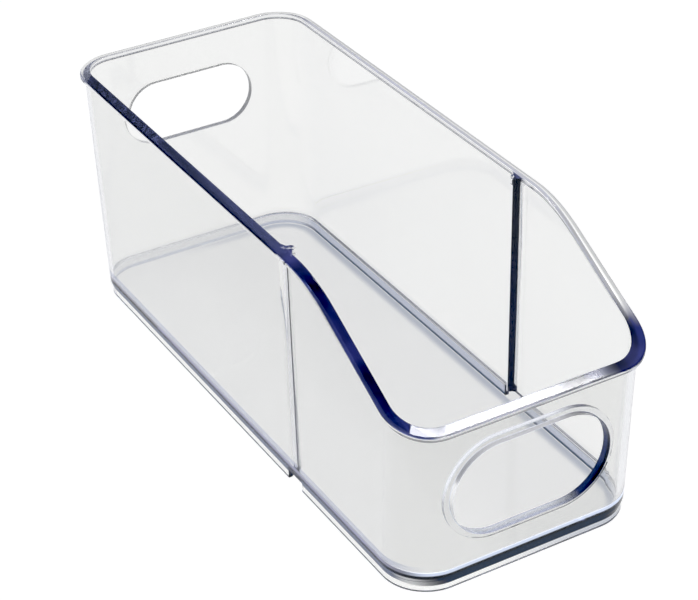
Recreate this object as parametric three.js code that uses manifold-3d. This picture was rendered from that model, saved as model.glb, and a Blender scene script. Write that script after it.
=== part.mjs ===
import * as THREE from 'three';
import { mergeVertices } from 'three/addons/utils/BufferGeometryUtils.js';
import Module from 'manifold-3d';

// A clear, open-topped organizer bin for a fridge shelf, in millimetres.
// +Z is up and the length runs along Y: the low front wall is at -Y, the high back wall at +Y.
// The origin is the centre of the footprint, on the shelf that the bin stands on.
// The real bin is one moulding. Its floor, foot, walls, rim and divider rails are kept here as
// separate solids, parted at the lines where one feature of the moulding meets the next.

// Size over the rim.
const rimLength = 316;
const rimWidth = 126;
const rearRimHeight = 122;
const frontRimHeight = 84;
const rimCornerRadius = 20.8;

// Walls. Each leans in from the rim down to the floor, so the bin leaves its mould.
const wallThickness = 3;
const sideWallDraft = 0.9;
const endWallDraft = 2.7;
const baseCornerRadius = 22;
const baseEdgeRadius = 0.8;

// Rim: a lip that stands out from the top of every wall.
const rimOverhang = 2.1;
const rimDepth = 3.2;

// Floor.
const floorThickness = 3;
const floorFillet = 2.4;

// Foot: a low ring under the floor, open on both long sides below the divider rails.
const footHeight = 6;
const footInset = 0.9;
const footThickness = 2.4;
const footNotchLength = 12.2;

// The rim falls from the rear height to the front height along a ramp with eased ends.
// The ramp's foot lies past the point where the long side turns into the front corner.
const rampRun = 71.7;
const rampFootPastCorner = 14.15;
const rampShoulderEase = 15.5;
const rampFootEase = 14.15;

// Divider rails, one inside each long wall, level with the rim and wider at the head.
// Each section is a rib that spreads out where it meets the wall.
const railFromFront = 102;
const railWidth = 2.8;
const railReach = 3.2;
const railRootFlare = 2.6;
const railHeadWidth = 4.4;
const railHeadReach = 3.8;
const railHeadDepth = 3.4;

// Hand slots with round ends, one through each end wall.
const backSlotLength = 69;
const backSlotHeight = 32.4;
const backSlotBelowRim = 21;
const frontSlotLength = 78;
const frontSlotBelowRim = 17;
const frontSlotAboveFloor = 13;

// Collar that thickens the inner edge of the front slot.
const collarWidth = 3;
const collarReach = 1.6;

// Clearance kept along a parting that isn't a plain flat face, and how far cutters run past.
const seamGap = 0.3;
const cutOverrun = 5;

// How finely curves are stepped.
const cornerSteps = 10;
const slotSteps = 16;
const easeSteps = 8;
const filletSteps = 3;

const halfLength = rimLength / 2;
const halfWidth = rimWidth / 2;
const floorTop = footHeight + floorThickness;
const railY = railFromFront - halfLength;

const wasm = await Module();
wasm.setup();

// Turns a closed three.js geometry into a solid that can be cut and joined.
function toSolid(geometry) {
  const bare = geometry.clone();
  bare.deleteAttribute('normal');
  bare.deleteAttribute('uv');
  const merged = mergeVertices(bare);
  return new wasm.Manifold(new wasm.Mesh({
    numProp: 3,
    vertProperties: Float32Array.from(merged.attributes.position.array),
    triVerts: Uint32Array.from(merged.index.array),
  }));
}

// Turns a finished solid back into a three.js geometry.
function toGeometry(solid) {
  const mesh = solid.getMesh();
  const geometry = new THREE.BufferGeometry();
  geometry.setAttribute('position', new THREE.BufferAttribute(mesh.vertProperties.slice(), 3));
  geometry.setIndex(new THREE.BufferAttribute(mesh.triVerts.slice(), 1));
  geometry.computeVertexNormals();
  return geometry;
}

// The block that fills one region, between two values of x, of y and of z.
function region(x0, x1, y0, y1, z0, z1) {
  const geometry = new THREE.BoxGeometry(Math.abs(x1 - x0), Math.abs(y1 - y0), z1 - z0);
  geometry.translate((x0 + x1) / 2, (y0 + y1) / 2, (z0 + z1) / 2);
  return toSolid(geometry);
}

// A rectangle with round corners, given by its half sizes and corner radius.
function roundedRectangle(plan) {
  const { x, y, radius } = plan;
  const shape = new THREE.Shape();
  shape.absarc(x - radius, y - radius, radius, 0, Math.PI / 2, false);
  shape.absarc(radius - x, y - radius, radius, Math.PI / 2, Math.PI, false);
  shape.absarc(radius - x, radius - y, radius, Math.PI, 1.5 * Math.PI, false);
  shape.absarc(x - radius, radius - y, radius, 1.5 * Math.PI, 2 * Math.PI, false);
  shape.closePath();
  return shape;
}

// A plan drawn in by the same distance all round.
function drawnIn(plan, distance) {
  return { x: plan.x - distance, y: plan.y - distance, radius: plan.radius - distance };
}

// A solid whose level cuts are the given plans at the given heights, straight in between.
function loft(levels) {
  const first = levels[0].plan;
  const last = levels.length - 1;
  const geometry = new THREE.ExtrudeGeometry(roundedRectangle(first), {
    depth: last, steps: last, bevelEnabled: false, curveSegments: cornerSteps,
  });
  const position = geometry.attributes.position;
  for (let i = 0; i < position.count; i += 1) {
    const { plan, z } = levels[Math.round(position.getZ(i))];
    const px = position.getX(i);
    const py = position.getY(i);
    const angle = Math.atan2(
      Math.abs(py) - (first.y - first.radius),
      Math.abs(px) - (first.x - first.radius),
    );
    position.setXYZ(
      i,
      Math.sign(px) * (plan.x - plan.radius + plan.radius * Math.cos(angle)),
      Math.sign(py) * (plan.y - plan.radius + plan.radius * Math.sin(angle)),
      z,
    );
  }
  return toSolid(geometry);
}

// Outer plans of the walls: just under the rim lip, and at the floor.
const rimPlan = { x: halfWidth, y: halfLength, radius: rimCornerRadius };
const wallTopPlan = drawnIn(rimPlan, rimOverhang);
const wallBasePlan = {
  x: wallTopPlan.x - sideWallDraft, y: wallTopPlan.y - endWallDraft, radius: baseCornerRadius,
};

// The walls' outer plan at any height, drawn in by a distance.
function wallPlan(z, distance) {
  const rise = (z - footHeight) / (rearRimHeight - footHeight);
  const base = drawnIn(wallBasePlan, distance);
  const top = drawnIn(wallTopPlan, distance);
  return {
    x: THREE.MathUtils.lerp(base.x, top.x, rise),
    y: THREE.MathUtils.lerp(base.y, top.y, rise),
    radius: THREE.MathUtils.lerp(base.radius, top.radius, rise),
  };
}

// Levels of a body that follows the walls, with its lower edge rounded by a radius.
function wallLevels(distance, bottom, top, radius) {
  const levels = [];
  for (let i = 0; i <= filletSteps; i += 1) {
    const angle = (i / filletSteps) * Math.PI / 2;
    const z = bottom + radius * (1 - Math.cos(angle));
    levels.push({ plan: wallPlan(z, distance + radius * (1 - Math.sin(angle))), z });
  }
  levels.push({ plan: wallPlan(top, distance), z: top });
  return levels;
}

// The same levels with the lowest plan carried straight down to another height.
function carriedDown(levels, bottom) {
  return [{ plan: levels[0].plan, z: bottom }, ...levels];
}

// Height of the rim's top, by distance run along it past the start of the front corner.
function rimTop(run) {
  const slope = (rearRimHeight - frontRimHeight) / rampRun;
  const shoulder = run - (rampFootPastCorner - rampRun - rampShoulderEase);
  const foot = rampFootPastCorner + rampFootEase - run;
  if (shoulder <= 0) return rearRimHeight;
  if (shoulder < 2 * rampShoulderEase) {
    return rearRimHeight - slope * shoulder ** 2 / (4 * rampShoulderEase);
  }
  if (foot <= 0) return frontRimHeight;
  if (foot < 2 * rampFootEase) return frontRimHeight + slope * foot ** 2 / (4 * rampFootEase);
  return frontRimHeight + slope * (foot - rampFootEase);
}

// Stations round the rim's outer edge: a point, the direction it faces and its height.
function rimStations() {
  const centreX = halfWidth - rimCornerRadius;
  const centreY = halfLength - rimCornerRadius;
  const right = [];
  const turn = (signY, angle, z) => right.push({
    x: centreX + rimCornerRadius * Math.cos(angle),
    y: signY * centreY + rimCornerRadius * Math.sin(angle),
    outX: Math.cos(angle),
    outY: Math.sin(angle),
    z,
  });
  for (let i = 0; i <= cornerSteps; i += 1) {
    turn(1, (1 - i / cornerSteps) * Math.PI / 2, rearRimHeight);
  }
  const shoulder = rampFootPastCorner - rampRun - rampShoulderEase;
  for (let i = 0; i <= 2 * easeSteps; i += 1) {
    const run = shoulder + (i / easeSteps) * rampShoulderEase;
    right.push({ x: halfWidth, y: -centreY - run, outX: 1, outY: 0, z: rimTop(run) });
  }
  for (let i = 0; i <= 2 * cornerSteps; i += 1) {
    const angle = (i / (2 * cornerSteps)) * Math.PI / 2;
    turn(-1, -angle, rimTop(rimCornerRadius * angle));
  }
  const left = right.map((s) => ({ ...s, x: -s.x, outX: -s.outX })).reverse();
  return [...right, ...left];
}

// A closed ring over the rim, whose underside lies a given drop below the rim's top.
function aboveRim(drop) {
  const stations = rimStations().reverse();
  const inward = rimOverhang + wallThickness + endWallDraft + cutOverrun;
  const section = [
    new THREE.Vector2(1, 0), new THREE.Vector2(2, 0), new THREE.Vector2(2, 1),
    new THREE.Vector2(1, 1), new THREE.Vector2(1, 0),
  ];
  const geometry = new THREE.LatheGeometry(section, stations.length);
  const position = geometry.attributes.position;
  for (let i = 0; i < position.count; i += 1) {
    const station = stations[Math.floor(i / section.length) % stations.length];
    const corner = section[i % section.length];
    const reach = corner.x > 1 ? cutOverrun : -inward;
    position.setXYZ(
      i,
      station.x + reach * station.outX,
      station.y + reach * station.outY,
      corner.y > 0 ? rearRimHeight + 2 * cutOverrun : station.z - drop,
    );
  }
  return toSolid(geometry);
}

// A bar with round ends across the bin, running from one y to another.
function slotBar(length, height, middleZ, fromY, toY) {
  const radius = height / 2;
  const straight = length / 2 - radius;
  const shape = new THREE.Shape();
  shape.absarc(straight, 0, radius, -Math.PI / 2, Math.PI / 2, false);
  shape.absarc(-straight, 0, radius, Math.PI / 2, 1.5 * Math.PI, false);
  shape.closePath();
  const geometry = new THREE.ExtrudeGeometry(shape, {
    depth: toY - fromY, steps: 1, bevelEnabled: false, curveSegments: slotSteps,
  });
  geometry.rotateX(Math.PI / 2);
  geometry.translate(0, toY, middleZ);
  return toSolid(geometry);
}

// Plan of a divider rail on the right-hand wall, with the wall's inner face at x = 0.
function railPlan(width, reach) {
  const half = width / 2;
  const root = half + railRootFlare;
  const shape = new THREE.Shape();
  shape.moveTo(cutOverrun, -root);
  shape.lineTo(cutOverrun, root);
  shape.lineTo(0, root);
  shape.quadraticCurveTo((half - reach) / 2, half, half - reach, half);
  shape.absarc(half - reach, 0, half, Math.PI / 2, 1.5 * Math.PI, false);
  shape.quadraticCurveTo((half - reach) / 2, -half, 0, -root);
  shape.closePath();
  return shape;
}

// A stretch of the right-hand divider rail, leaning with the wall's inner face.
function railStretch(width, reach, bottom, top) {
  const geometry = new THREE.ExtrudeGeometry(railPlan(width, reach), {
    depth: top - bottom, steps: 1, bevelEnabled: false, curveSegments: 2 * filletSteps,
  });
  geometry.translate(0, railY, bottom);
  const position = geometry.attributes.position;
  for (let i = 0; i < position.count; i += 1) {
    const face = wallPlan(position.getZ(i), wallThickness + seamGap).x;
    position.setX(i, position.getX(i) + face);
  }
  return toSolid(geometry);
}

// The clear moulding's look: almost colourless on its faces, blue where it is seen edge on.
function clearPlastic(color, opacity) {
  return new THREE.MeshStandardMaterial({
    color, roughness: 0.06, metalness: 0, transparent: true, opacity,
  });
}

const group = new THREE.Group();

// Adds a solid as a named mesh, placed by its anchor.
function addPiece(parent, name, solid, anchor, material) {
  const geometry = toGeometry(solid);
  geometry.translate(-anchor.x, -anchor.y, -anchor.z);
  const mesh = new THREE.Mesh(geometry, material);
  mesh.name = name;
  mesh.position.copy(anchor).sub(parent.position);
  parent.add(mesh);
  return mesh;
}

// How far the partings and cutters reach, and where the corners begin.
const farX = halfWidth + cutOverrun;
const farY = halfLength + cutOverrun;
const farZ = rearRimHeight + cutOverrun;
const cornerX = wallBasePlan.x - wallBasePlan.radius;
const cornerY = wallBasePlan.y - wallBasePlan.radius;
const endY = cornerY + wallBasePlan.radius / 2;
const sides = [['left', -1], ['right', 1]];
const ends = [['back', 1], ['front', -1]];

// Each end wall and the rim above it run this far from the middle, so that a slot and its
// collar lie whole in one piece.
const endReach = {
  back: Math.max(cornerX, backSlotLength / 2 + 2 * wallThickness),
  front: Math.max(cornerX, frontSlotLength / 2 + 2 * collarWidth),
};

// What lies in one end of the bin, or in one corner beside it, between two heights.
function endPart(solid, end, bottom) {
  const signY = end === 'back' ? 1 : -1;
  return solid.intersect(region(
    -endReach[end], endReach[end], signY * endY, signY * farY, bottom, farZ,
  ));
}

function cornerPart(solid, end, signX, bottom) {
  const signY = end === 'back' ? 1 : -1;
  const beyond = farY + cutOverrun;
  return solid
    .intersect(region(signX * cornerX, signX * farX, signY * cornerY, signY * farY, bottom, farZ))
    .subtract(region(-endReach[end], endReach[end], signY * endY, signY * beyond, 0, farZ));
}

// The outer body with its rounded lower edge, and the hollow that the walls stand round.
const outerBody = loft(wallLevels(0, footHeight, farZ, baseEdgeRadius));
const hollow = loft(carriedDown(
  wallLevels(wallThickness, floorTop, farZ + cutOverrun, floorFillet), footHeight - cutOverrun,
));

// Foot ring and floor.
function buildBase() {
  const base = new THREE.Group();
  group.add(base);
  const outer = drawnIn(wallPlan(footHeight, 0), footInset);
  const inner = drawnIn(outer, footThickness);
  const ring = loft([{ plan: outer, z: 0 }, { plan: outer, z: footHeight }]).subtract(
    loft([{ plan: inner, z: -cutOverrun }, { plan: inner, z: floorTop }]),
  );
  const cut = (x0, x1, y0, y1) => ring.intersect(region(x0, x1, y0, y1, -cutOverrun, floorTop));
  const startX = outer.x - outer.radius;
  const startY = outer.y - outer.radius;
  const notchFront = railY - footNotchLength / 2;
  const notchBack = railY + footNotchLength / 2;
  const look = clearPlastic(0x9aa0c2, 0.6);
  for (const [side, sign] of sides) {
    addPiece(base, `foot_${side}_rear`, cut(0, sign * farX, notchBack, startY),
      new THREE.Vector3(sign * outer.x, startY, 0), look.clone());
    addPiece(base, `foot_${side}_front`, cut(0, sign * farX, -startY, notchFront),
      new THREE.Vector3(sign * outer.x, -startY, 0), look.clone());
  }
  addPiece(base, 'foot_back', cut(-startX, startX, 0, farY),
    new THREE.Vector3(0, outer.y, 0), look.clone());
  addPiece(base, 'foot_front', cut(-startX, startX, -farY, 0),
    new THREE.Vector3(0, -outer.y, 0), look.clone());
  for (const [end, signY] of ends) {
    for (const [side, signX] of sides) {
      addPiece(base, `foot_corner_${end}_${side}`,
        cut(signX * startX, signX * farX, signY * startY, signY * farY),
        new THREE.Vector3(signX * startX, signY * startY, 0), look.clone());
    }
  }
  const floor = outerBody.intersect(region(-farX, farX, -farY, farY, 0, floorTop));
  addPiece(base, 'floor_panel', floor, new THREE.Vector3(0, 0, footHeight),
    clearPlastic(0xe3e4e8, 0.4));
}

// Walls, from the floor's top up to the underside of the rim.
function buildWalls() {
  const walls = new THREE.Group();
  walls.position.set(0, 0, floorTop);
  group.add(walls);
  const upright = outerBody.subtract(hollow).subtract(aboveRim(rimDepth + seamGap));
  const look = clearPlastic(0xe6e6e4, 0.3);
  for (const [side, sign] of sides) {
    const wall = upright.intersect(region(0, sign * farX, -cornerY, cornerY, floorTop, farZ));
    addPiece(walls, `wall_${side}`, wall,
      new THREE.Vector3(sign * wallBasePlan.x, 0, floorTop), look.clone());
  }

  const backMiddle = rearRimHeight - backSlotBelowRim - backSlotHeight / 2;
  const backFace = wallPlan(backMiddle, wallThickness).y;
  const backSlot = slotBar(
    backSlotLength, backSlotHeight, backMiddle, backFace - cutOverrun, farY,
  );
  addPiece(walls, 'wall_back', endPart(upright, 'back', floorTop).subtract(backSlot),
    new THREE.Vector3(0, wallBasePlan.y, floorTop), look.clone());

  const slotTop = frontRimHeight - frontSlotBelowRim;
  const slotBottom = floorTop + frontSlotAboveFloor;
  const frontMiddle = (slotTop + slotBottom) / 2;
  const frontFace = wallPlan(frontMiddle, wallThickness).y;
  const collar = slotBar(
    frontSlotLength + 2 * collarWidth, slotTop - slotBottom + 2 * collarWidth, frontMiddle,
    -frontFace - wallThickness / 2, -frontFace + collarReach,
  );
  const frontSlot = slotBar(
    frontSlotLength, slotTop - slotBottom, frontMiddle,
    -farY, -frontFace + collarReach + cutOverrun,
  );
  const front = endPart(upright, 'front', floorTop).add(collar).subtract(frontSlot);
  addPiece(walls, 'wall_front', front,
    new THREE.Vector3(0, -wallBasePlan.y, floorTop), look.clone());

  for (const [end, signY] of ends) {
    for (const [side, signX] of sides) {
      addPiece(walls, `wall_corner_${end}_${side}`, cornerPart(upright, end, signX, floorTop),
        new THREE.Vector3(signX * cornerX, signY * cornerY, floorTop), look.clone());
    }
  }
}

// Rim: the lip and the top of the wall inside it, in one band all the way round.
function buildRim() {
  const rim = new THREE.Group();
  rim.position.set(0, 0, frontRimHeight);
  group.add(rim);
  const band = loft([{ plan: rimPlan, z: floorTop }, { plan: rimPlan, z: farZ }])
    .subtract(hollow)
    .intersect(aboveRim(rimDepth))
    .subtract(aboveRim(0));
  const rampTop = -halfLength + rimCornerRadius - rampFootPastCorner + rampRun + rampShoulderEase;
  const look = clearPlastic(0x2a3170, 0.85);
  for (const [side, sign] of sides) {
    const level = band.intersect(region(0, sign * farX, rampTop, cornerY, 0, farZ));
    addPiece(rim, `rim_${side}`, level,
      new THREE.Vector3(sign * halfWidth, cornerY, rearRimHeight), look.clone());
    const ramp = band.intersect(region(0, sign * farX, -cornerY, rampTop, 0, farZ));
    addPiece(rim, `rim_ramp_${side}`, ramp,
      new THREE.Vector3(sign * halfWidth, rampTop, rearRimHeight), look.clone());
  }
  for (const [end, signY] of ends) {
    const height = signY > 0 ? rearRimHeight : frontRimHeight;
    addPiece(rim, `rim_${end}`, endPart(band, end, 0),
      new THREE.Vector3(0, signY * halfLength, height), look.clone());
    for (const [side, signX] of sides) {
      addPiece(rim, `rim_corner_${end}_${side}`, cornerPart(band, end, signX, 0),
        new THREE.Vector3(signX * cornerX, signY * cornerY, height), look.clone());
    }
  }
}

// Divider rails, from the floor up to the rim. The left one is the right one turned half round.
function buildRails() {
  const rails = new THREE.Group();
  rails.position.set(0, railY, floorTop);
  group.add(rails);
  const openSpace = loft(wallLevels(
    wallThickness + seamGap, floorTop, farZ + cutOverrun, floorFillet,
  ));
  const stem = railStretch(railWidth, railReach, footHeight, rearRimHeight - railHeadDepth / 2);
  const head = railStretch(
    railHeadWidth, railHeadReach, rearRimHeight - railHeadDepth, rearRimHeight,
  );
  const face = wallPlan(floorTop, wallThickness).x;
  const look = clearPlastic(0x1e2560, 0.85);
  const right = addPiece(rails, 'rail_right', stem.add(head).intersect(openSpace),
    new THREE.Vector3(face, railY, floorTop), look);
  const left = new THREE.Mesh(right.geometry, look.clone());
  left.name = 'rail_left';
  left.position.set(-face, 0, 0);
  left.rotation.z = Math.PI;
  rails.add(left);
}

buildBase();
buildWalls();
buildRim();
buildRails();

export default group;
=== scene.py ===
"""Dresses a clear organizer bin for a fridge shelf: one moulding, a pale floor, soft light."""

import logging
import math
from dataclasses import dataclass
from enum import Enum
from typing import Any, Optional

import bmesh
import bpy
from mathutils import Matrix, Vector


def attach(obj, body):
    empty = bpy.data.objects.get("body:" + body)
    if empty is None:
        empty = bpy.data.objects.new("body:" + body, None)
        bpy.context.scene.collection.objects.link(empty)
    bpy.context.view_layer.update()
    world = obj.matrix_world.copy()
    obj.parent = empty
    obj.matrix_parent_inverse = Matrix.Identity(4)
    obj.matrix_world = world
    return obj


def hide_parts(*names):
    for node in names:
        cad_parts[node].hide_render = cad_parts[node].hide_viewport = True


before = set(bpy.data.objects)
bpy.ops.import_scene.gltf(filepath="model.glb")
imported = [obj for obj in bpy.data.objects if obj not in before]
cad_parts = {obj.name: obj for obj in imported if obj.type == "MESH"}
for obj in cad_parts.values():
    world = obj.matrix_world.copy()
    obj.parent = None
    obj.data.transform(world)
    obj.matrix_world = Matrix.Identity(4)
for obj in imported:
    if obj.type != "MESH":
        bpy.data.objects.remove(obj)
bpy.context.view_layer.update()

MM = 0.001
WELD = 1e-6
# Keeps the whole quarters of the sweep from being rounded down.
NUDGE = 1e-4
# A fillet of just under half the height keeps the slot's straight sides apart from its ends.
NEARLY_HALF = 0.4999
LOG = logging.getLogger("bin")

Colour = tuple[float, float, float]
Span = tuple[float, float]
Window = tuple[float, float, float, float]
Feeds = dict[Any, Any]


class End(Enum):
    """Which end wall of the bin something belongs to."""

    BACK = 1
    FRONT = -1


class Ease(Enum):
    """How a value runs from one limit to the next."""

    STRAIGHT = "LINEAR"
    SMOOTH = "SMOOTHSTEP"


class Tree(Enum):
    """What a node group is for."""

    SHADER = "ShaderNodeTree"
    GEOMETRY = "GeometryNodeTree"


class Socket(Enum):
    """What passes through a socket of a group."""

    NUMBER = "NodeSocketFloat"
    WHOLE = "NodeSocketInt"
    VECTOR = "NodeSocketVector"
    GEOMETRY = "NodeSocketGeometry"
    OBJECT = "NodeSocketObject"
    MATERIAL = "NodeSocketMaterial"


def in_metres(lengths: tuple[float, ...]) -> tuple[float, ...]:
    """Returns lengths given in millimetres as metres."""
    return tuple(length * MM for length in lengths)


def direction(azimuth: float, elevation: float) -> Vector:
    """Points a unit vector by two angles.

    Args:
        azimuth: the angle in degrees from +Y towards +X.
        elevation: the angle in degrees above the level.

    Returns:
        The vector.
    """
    turn, lift = math.radians(azimuth), math.radians(elevation)
    return Vector((math.sin(turn) * math.cos(lift), math.cos(turn) * math.cos(lift),
                   math.sin(lift)))


@dataclass(frozen=True)
class Term:
    """What a node's output gives, so that sums can be written with it.

    Attributes:
        bench: the bench that the nodes of the sums are laid on.
        socket: the output.
    """

    bench: "Bench"
    socket: bpy.types.NodeSocket

    def __add__(self, other: Any) -> "Term":
        """Adds another number."""
        return self.bench.math("ADD", self, other)

    def __sub__(self, other: Any) -> "Term":
        """Takes another number away."""
        return self.bench.math("SUBTRACT", self, other)

    def __rsub__(self, other: float) -> "Term":
        """Is taken away from a plain number."""
        return self.bench.math("SUBTRACT", other, self)

    def __mul__(self, other: Any) -> "Term":
        """Multiplies by another number."""
        return self.bench.math("MULTIPLY", self, other)

    def __truediv__(self, other: Any) -> "Term":
        """Divides by another number."""
        return self.bench.math("DIVIDE", self, other)

    def __abs__(self) -> "Term":
        """Drops the sign."""
        return self.bench.math("ABSOLUTE", self)

    def __lt__(self, other: Any) -> "Term":
        """Gives 1 where this is the smaller number, otherwise 0."""
        return self.bench.math("LESS_THAN", self, other)

    def __gt__(self, other: Any) -> "Term":
        """Gives 1 where this is the greater number, otherwise 0."""
        return self.bench.math("GREATER_THAN", self, other)


class Bench:
    """Lays out the nodes of one tree and joins their sockets."""

    ROW = 24
    PITCH = (180, 260)

    def __init__(self, tree: bpy.types.NodeTree) -> None:
        """Starts work on a tree."""
        self.tree = tree
        self.count = 0

    def feed(self, socket: bpy.types.NodeSocket, value: Any) -> None:
        """Links an input to an output, or sets its value.

        Args:
            socket: the input to fill.
            value: a term, a plain value, or a list of terms for an input that takes several.
        """
        for one in value if isinstance(value, list) else [value]:
            if isinstance(one, Term):
                self.tree.links.new(one.socket, socket)
            else:
                socket.default_value = one

    def node(self, kind: str, values: Optional[Feeds] = None,
             **settings: Any) -> bpy.types.Node:
        """Adds a node.

        Args:
            kind: the node's type name.
            values: what its inputs are fed, by their names or numbers.
            settings: values for the node's own properties.

        Returns:
            The new node.
        """
        made = self.tree.nodes.new(kind)
        row, column = divmod(self.count, self.ROW)
        made.location = (column * self.PITCH[0], -row * self.PITCH[1])
        self.count += 1
        for name, value in settings.items():
            setattr(made, name, value)
        for label, value in (values or {}).items():
            self.feed(made.inputs[label], value)
        return made

    def step(self, kind: str, values: Optional[Feeds] = None, take: Any = 0,
             **settings: Any) -> Term:
        """Adds a node and gives the output whose name or number is to be taken."""
        return Term(self, self.node(kind, values, **settings).outputs[take])

    def outputs(self, kind: str, values: Optional[Feeds] = None,
                **settings: Any) -> dict[str, Term]:
        """Adds a node and gives all its outputs, by their names."""
        made = self.node(kind, values, **settings)
        return {socket.name: Term(self, socket) for socket in made.outputs if socket.name}

    def group(self, tree: bpy.types.NodeTree, values: Feeds) -> dict[str, Term]:
        """Places a group and gives its outputs, by their names."""
        return self.outputs(tree.bl_idname.replace("Tree", "Group"), values, node_tree=tree)

    def math(self, operation: str, *values: Any) -> Term:
        """Works a sum of one, two or three numbers."""
        return self.step("ShaderNodeMath", dict(enumerate(values)), operation=operation)

    def spread(self, value: Term, low: Any, high: Any, start: Any = 0.0, end: Any = 1.0,
               ease: Ease = Ease.STRAIGHT) -> Term:
        """Maps a value from the range low to high onto start to end, and holds it there."""
        return self.step("ShaderNodeMapRange", dict(enumerate((value, low, high, start, end))),
                         interpolation_type=ease.value, clamp=True)

    def rise(self, value: Term, span: Span, ease: Ease = Ease.STRAIGHT) -> Term:
        """Rises from 0 to 1 while a value in metres crosses a span in millimetres."""
        return self.spread(value, *in_metres(span), ease=ease)

    def fall(self, value: Term, span: Span, ease: Ease = Ease.STRAIGHT) -> Term:
        """Falls from 1 to 0 while a value in metres crosses a span in millimetres."""
        return self.spread(value, *in_metres(span), 1.0, 0.0, ease)

    def window(self, value: Term, limits: Window, ease: Ease = Ease.STRAIGHT) -> Term:
        """Rises over the first two limits and falls over the last two."""
        return self.rise(value, limits[:2], ease) * self.fall(value, limits[2:], ease)

    def blend(self, share: Any, first: Any, second: Any) -> Term:
        """Mixes two colours.

        Args:
            share: how much of the second colour there is.
            first: the colour where the share is 0, as a term or as three numbers.
            second: the colour where it is 1.

        Returns:
            The mixed colour.
        """
        first, second = ((*colour, 1.0) if isinstance(colour, tuple) else colour
                         for colour in (first, second))
        return self.step("ShaderNodeMix", {0: share, 6: first, 7: second}, take=2,
                         data_type="RGBA")

    def noise(self, point: Term, scale: Any, detail: float, rough: float) -> Term:
        """Adds a noise texture and gives its grey value."""
        return self.step("ShaderNodeTexNoise", {"Vector": point, "Scale": scale,
                                                "Detail": detail, "Roughness": rough})

    def point(self, x: Any, y: Any, z: Any) -> Term:
        """Joins three numbers into one point."""
        return self.step("ShaderNodeCombineXYZ", {0: x, 1: y, 2: z})

    def parts(self, point: Term) -> tuple[Term, ...]:
        """Splits a point into its three numbers."""
        return tuple(self.outputs("ShaderNodeSeparateXYZ", {0: point}).values())

    def solid(self, face: Term, values: Feeds) -> Term:
        """Extrudes faces into closed solids.

        Args:
            face: the faces.
            values: the extrusion's other inputs.

        Returns:
            The solids.
        """
        walls = self.step("GeometryNodeExtrudeMesh", {"Mesh": face, **values}, mode="FACES")
        lid = self.step("GeometryNodeFlipFaces", {0: face})
        return self.welded(self.step("GeometryNodeJoinGeometry", {0: [walls, lid]}))

    def welded(self, geometry: Term) -> Term:
        """Merges the points that lie together."""
        return self.step("GeometryNodeMergeByDistance", {0: geometry, "Distance": WELD})

    def conclude(self, geometry: Term, material: Term) -> None:
        """Ends a geometry tree with one real mesh in one material.

        Args:
            geometry: the finished geometry.
            material: its material.
        """
        real = self.step("GeometryNodeRealizeInstances", {0: geometry})
        dressed = self.step("GeometryNodeSetMaterial", {"Geometry": real, "Material": material})
        self.node("NodeGroupOutput", {"Geometry": dressed})


def new_group(kind: Tree, name: str, inputs: dict[str, Socket],
              outputs: dict[str, Socket]) -> tuple[bpy.types.NodeTree, Bench, dict[str, Term]]:
    """Makes a node group with nothing in it but its inputs.

    Args:
        kind: what the group is for.
        name: the group's name.
        inputs: its inputs, by name.
        outputs: its outputs, by name.

    Returns:
        The group's tree, a bench to work on it, and what its inputs give.
    """
    tree = bpy.data.node_groups.new(name, kind.value)
    for side, sockets in (("INPUT", inputs), ("OUTPUT", outputs)):
        for label, socket in sockets.items():
            tree.interface.new_socket(name=label, in_out=side, socket_type=socket.value)
    bench = Bench(tree)
    return tree, bench, bench.outputs("NodeGroupInput")


def numbers(*labels: str) -> dict[str, Socket]:
    """Describes sockets that are all plain numbers."""
    return dict.fromkeys(labels, Socket.NUMBER)


def settled(piece: bpy.types.Object, tree: bpy.types.NodeTree, values: dict[str, Any]) -> None:
    """Runs a tree on a piece and keeps the result as the piece's own plain mesh.

    Args:
        piece: the object to work on.
        tree: the geometry tree.
        values: the tree's inputs, by name.
    """
    modifier = piece.modifiers.new(tree.name, "NODES")
    modifier.node_group = tree
    for item in tree.interface.items_tree:
        if item.item_type == "SOCKET" and item.in_out == "INPUT" and item.name in values:
            modifier[item.identifier] = values[item.name]
    finished(piece)


def finished(piece: bpy.types.Object) -> None:
    """Turns a piece and its modifiers into one plain mesh.

    Args:
        piece: the object to work on.
    """
    graph = bpy.context.evaluated_depsgraph_get()
    graph.update()
    mesh = bpy.data.meshes.new_from_object(piece.evaluated_get(graph), depsgraph=graph)
    piece.modifiers.clear()
    before = piece.data
    piece.data = mesh
    mesh.name = piece.name
    bpy.data.meshes.remove(before)


def new_piece(name: str, mesh: bpy.types.Mesh) -> bpy.types.Object:
    """Links a mesh into the scene as an object at the origin.

    Args:
        name: the object's name.
        mesh: its mesh.

    Returns:
        The object.
    """
    piece = bpy.data.objects.new(name, mesh)
    bpy.context.scene.collection.objects.link(piece)
    return piece


@dataclass(frozen=True)
class SectionPoint:
    """One point of the moulding's section.

    Attributes:
        inset: how far it lies inside the outer plan, in millimetres.
        height: its height at the back of the bin, in millimetres.
        level: the height whose plan it follows, or a negative number for its own.
        follows: 1 where it rises and falls with the rim, otherwise 0.
        reach: 1 on the section, and 0 at the middle of the floor.
    """

    inset: float
    height: float
    level: float = -1.0
    follows: float = 0.0
    reach: float = 1.0


def arc(inset: float, height: float, radius: float, start: float, end: float, steps: int,
        level: float = -1.0, follows: float = 0.0) -> list[SectionPoint]:
    """Lists the points of one rounding of the section.

    Args:
        inset: the centre's inset.
        height: the centre's height.
        radius: the rounding's radius.
        start: the first angle in degrees, with 0 inward and 90 upward.
        end: the last angle in degrees.
        steps: how many chords it has.
        level: as in SectionPoint.
        follows: as in SectionPoint.

    Returns:
        The points in order.
    """
    found = []
    for index in range(steps + 1):
        angle = math.radians(start + (end - start) * index / steps)
        found.append(SectionPoint(inset + radius * math.cos(angle),
                                  height + radius * math.sin(angle), level, follows))
    return found


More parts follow.
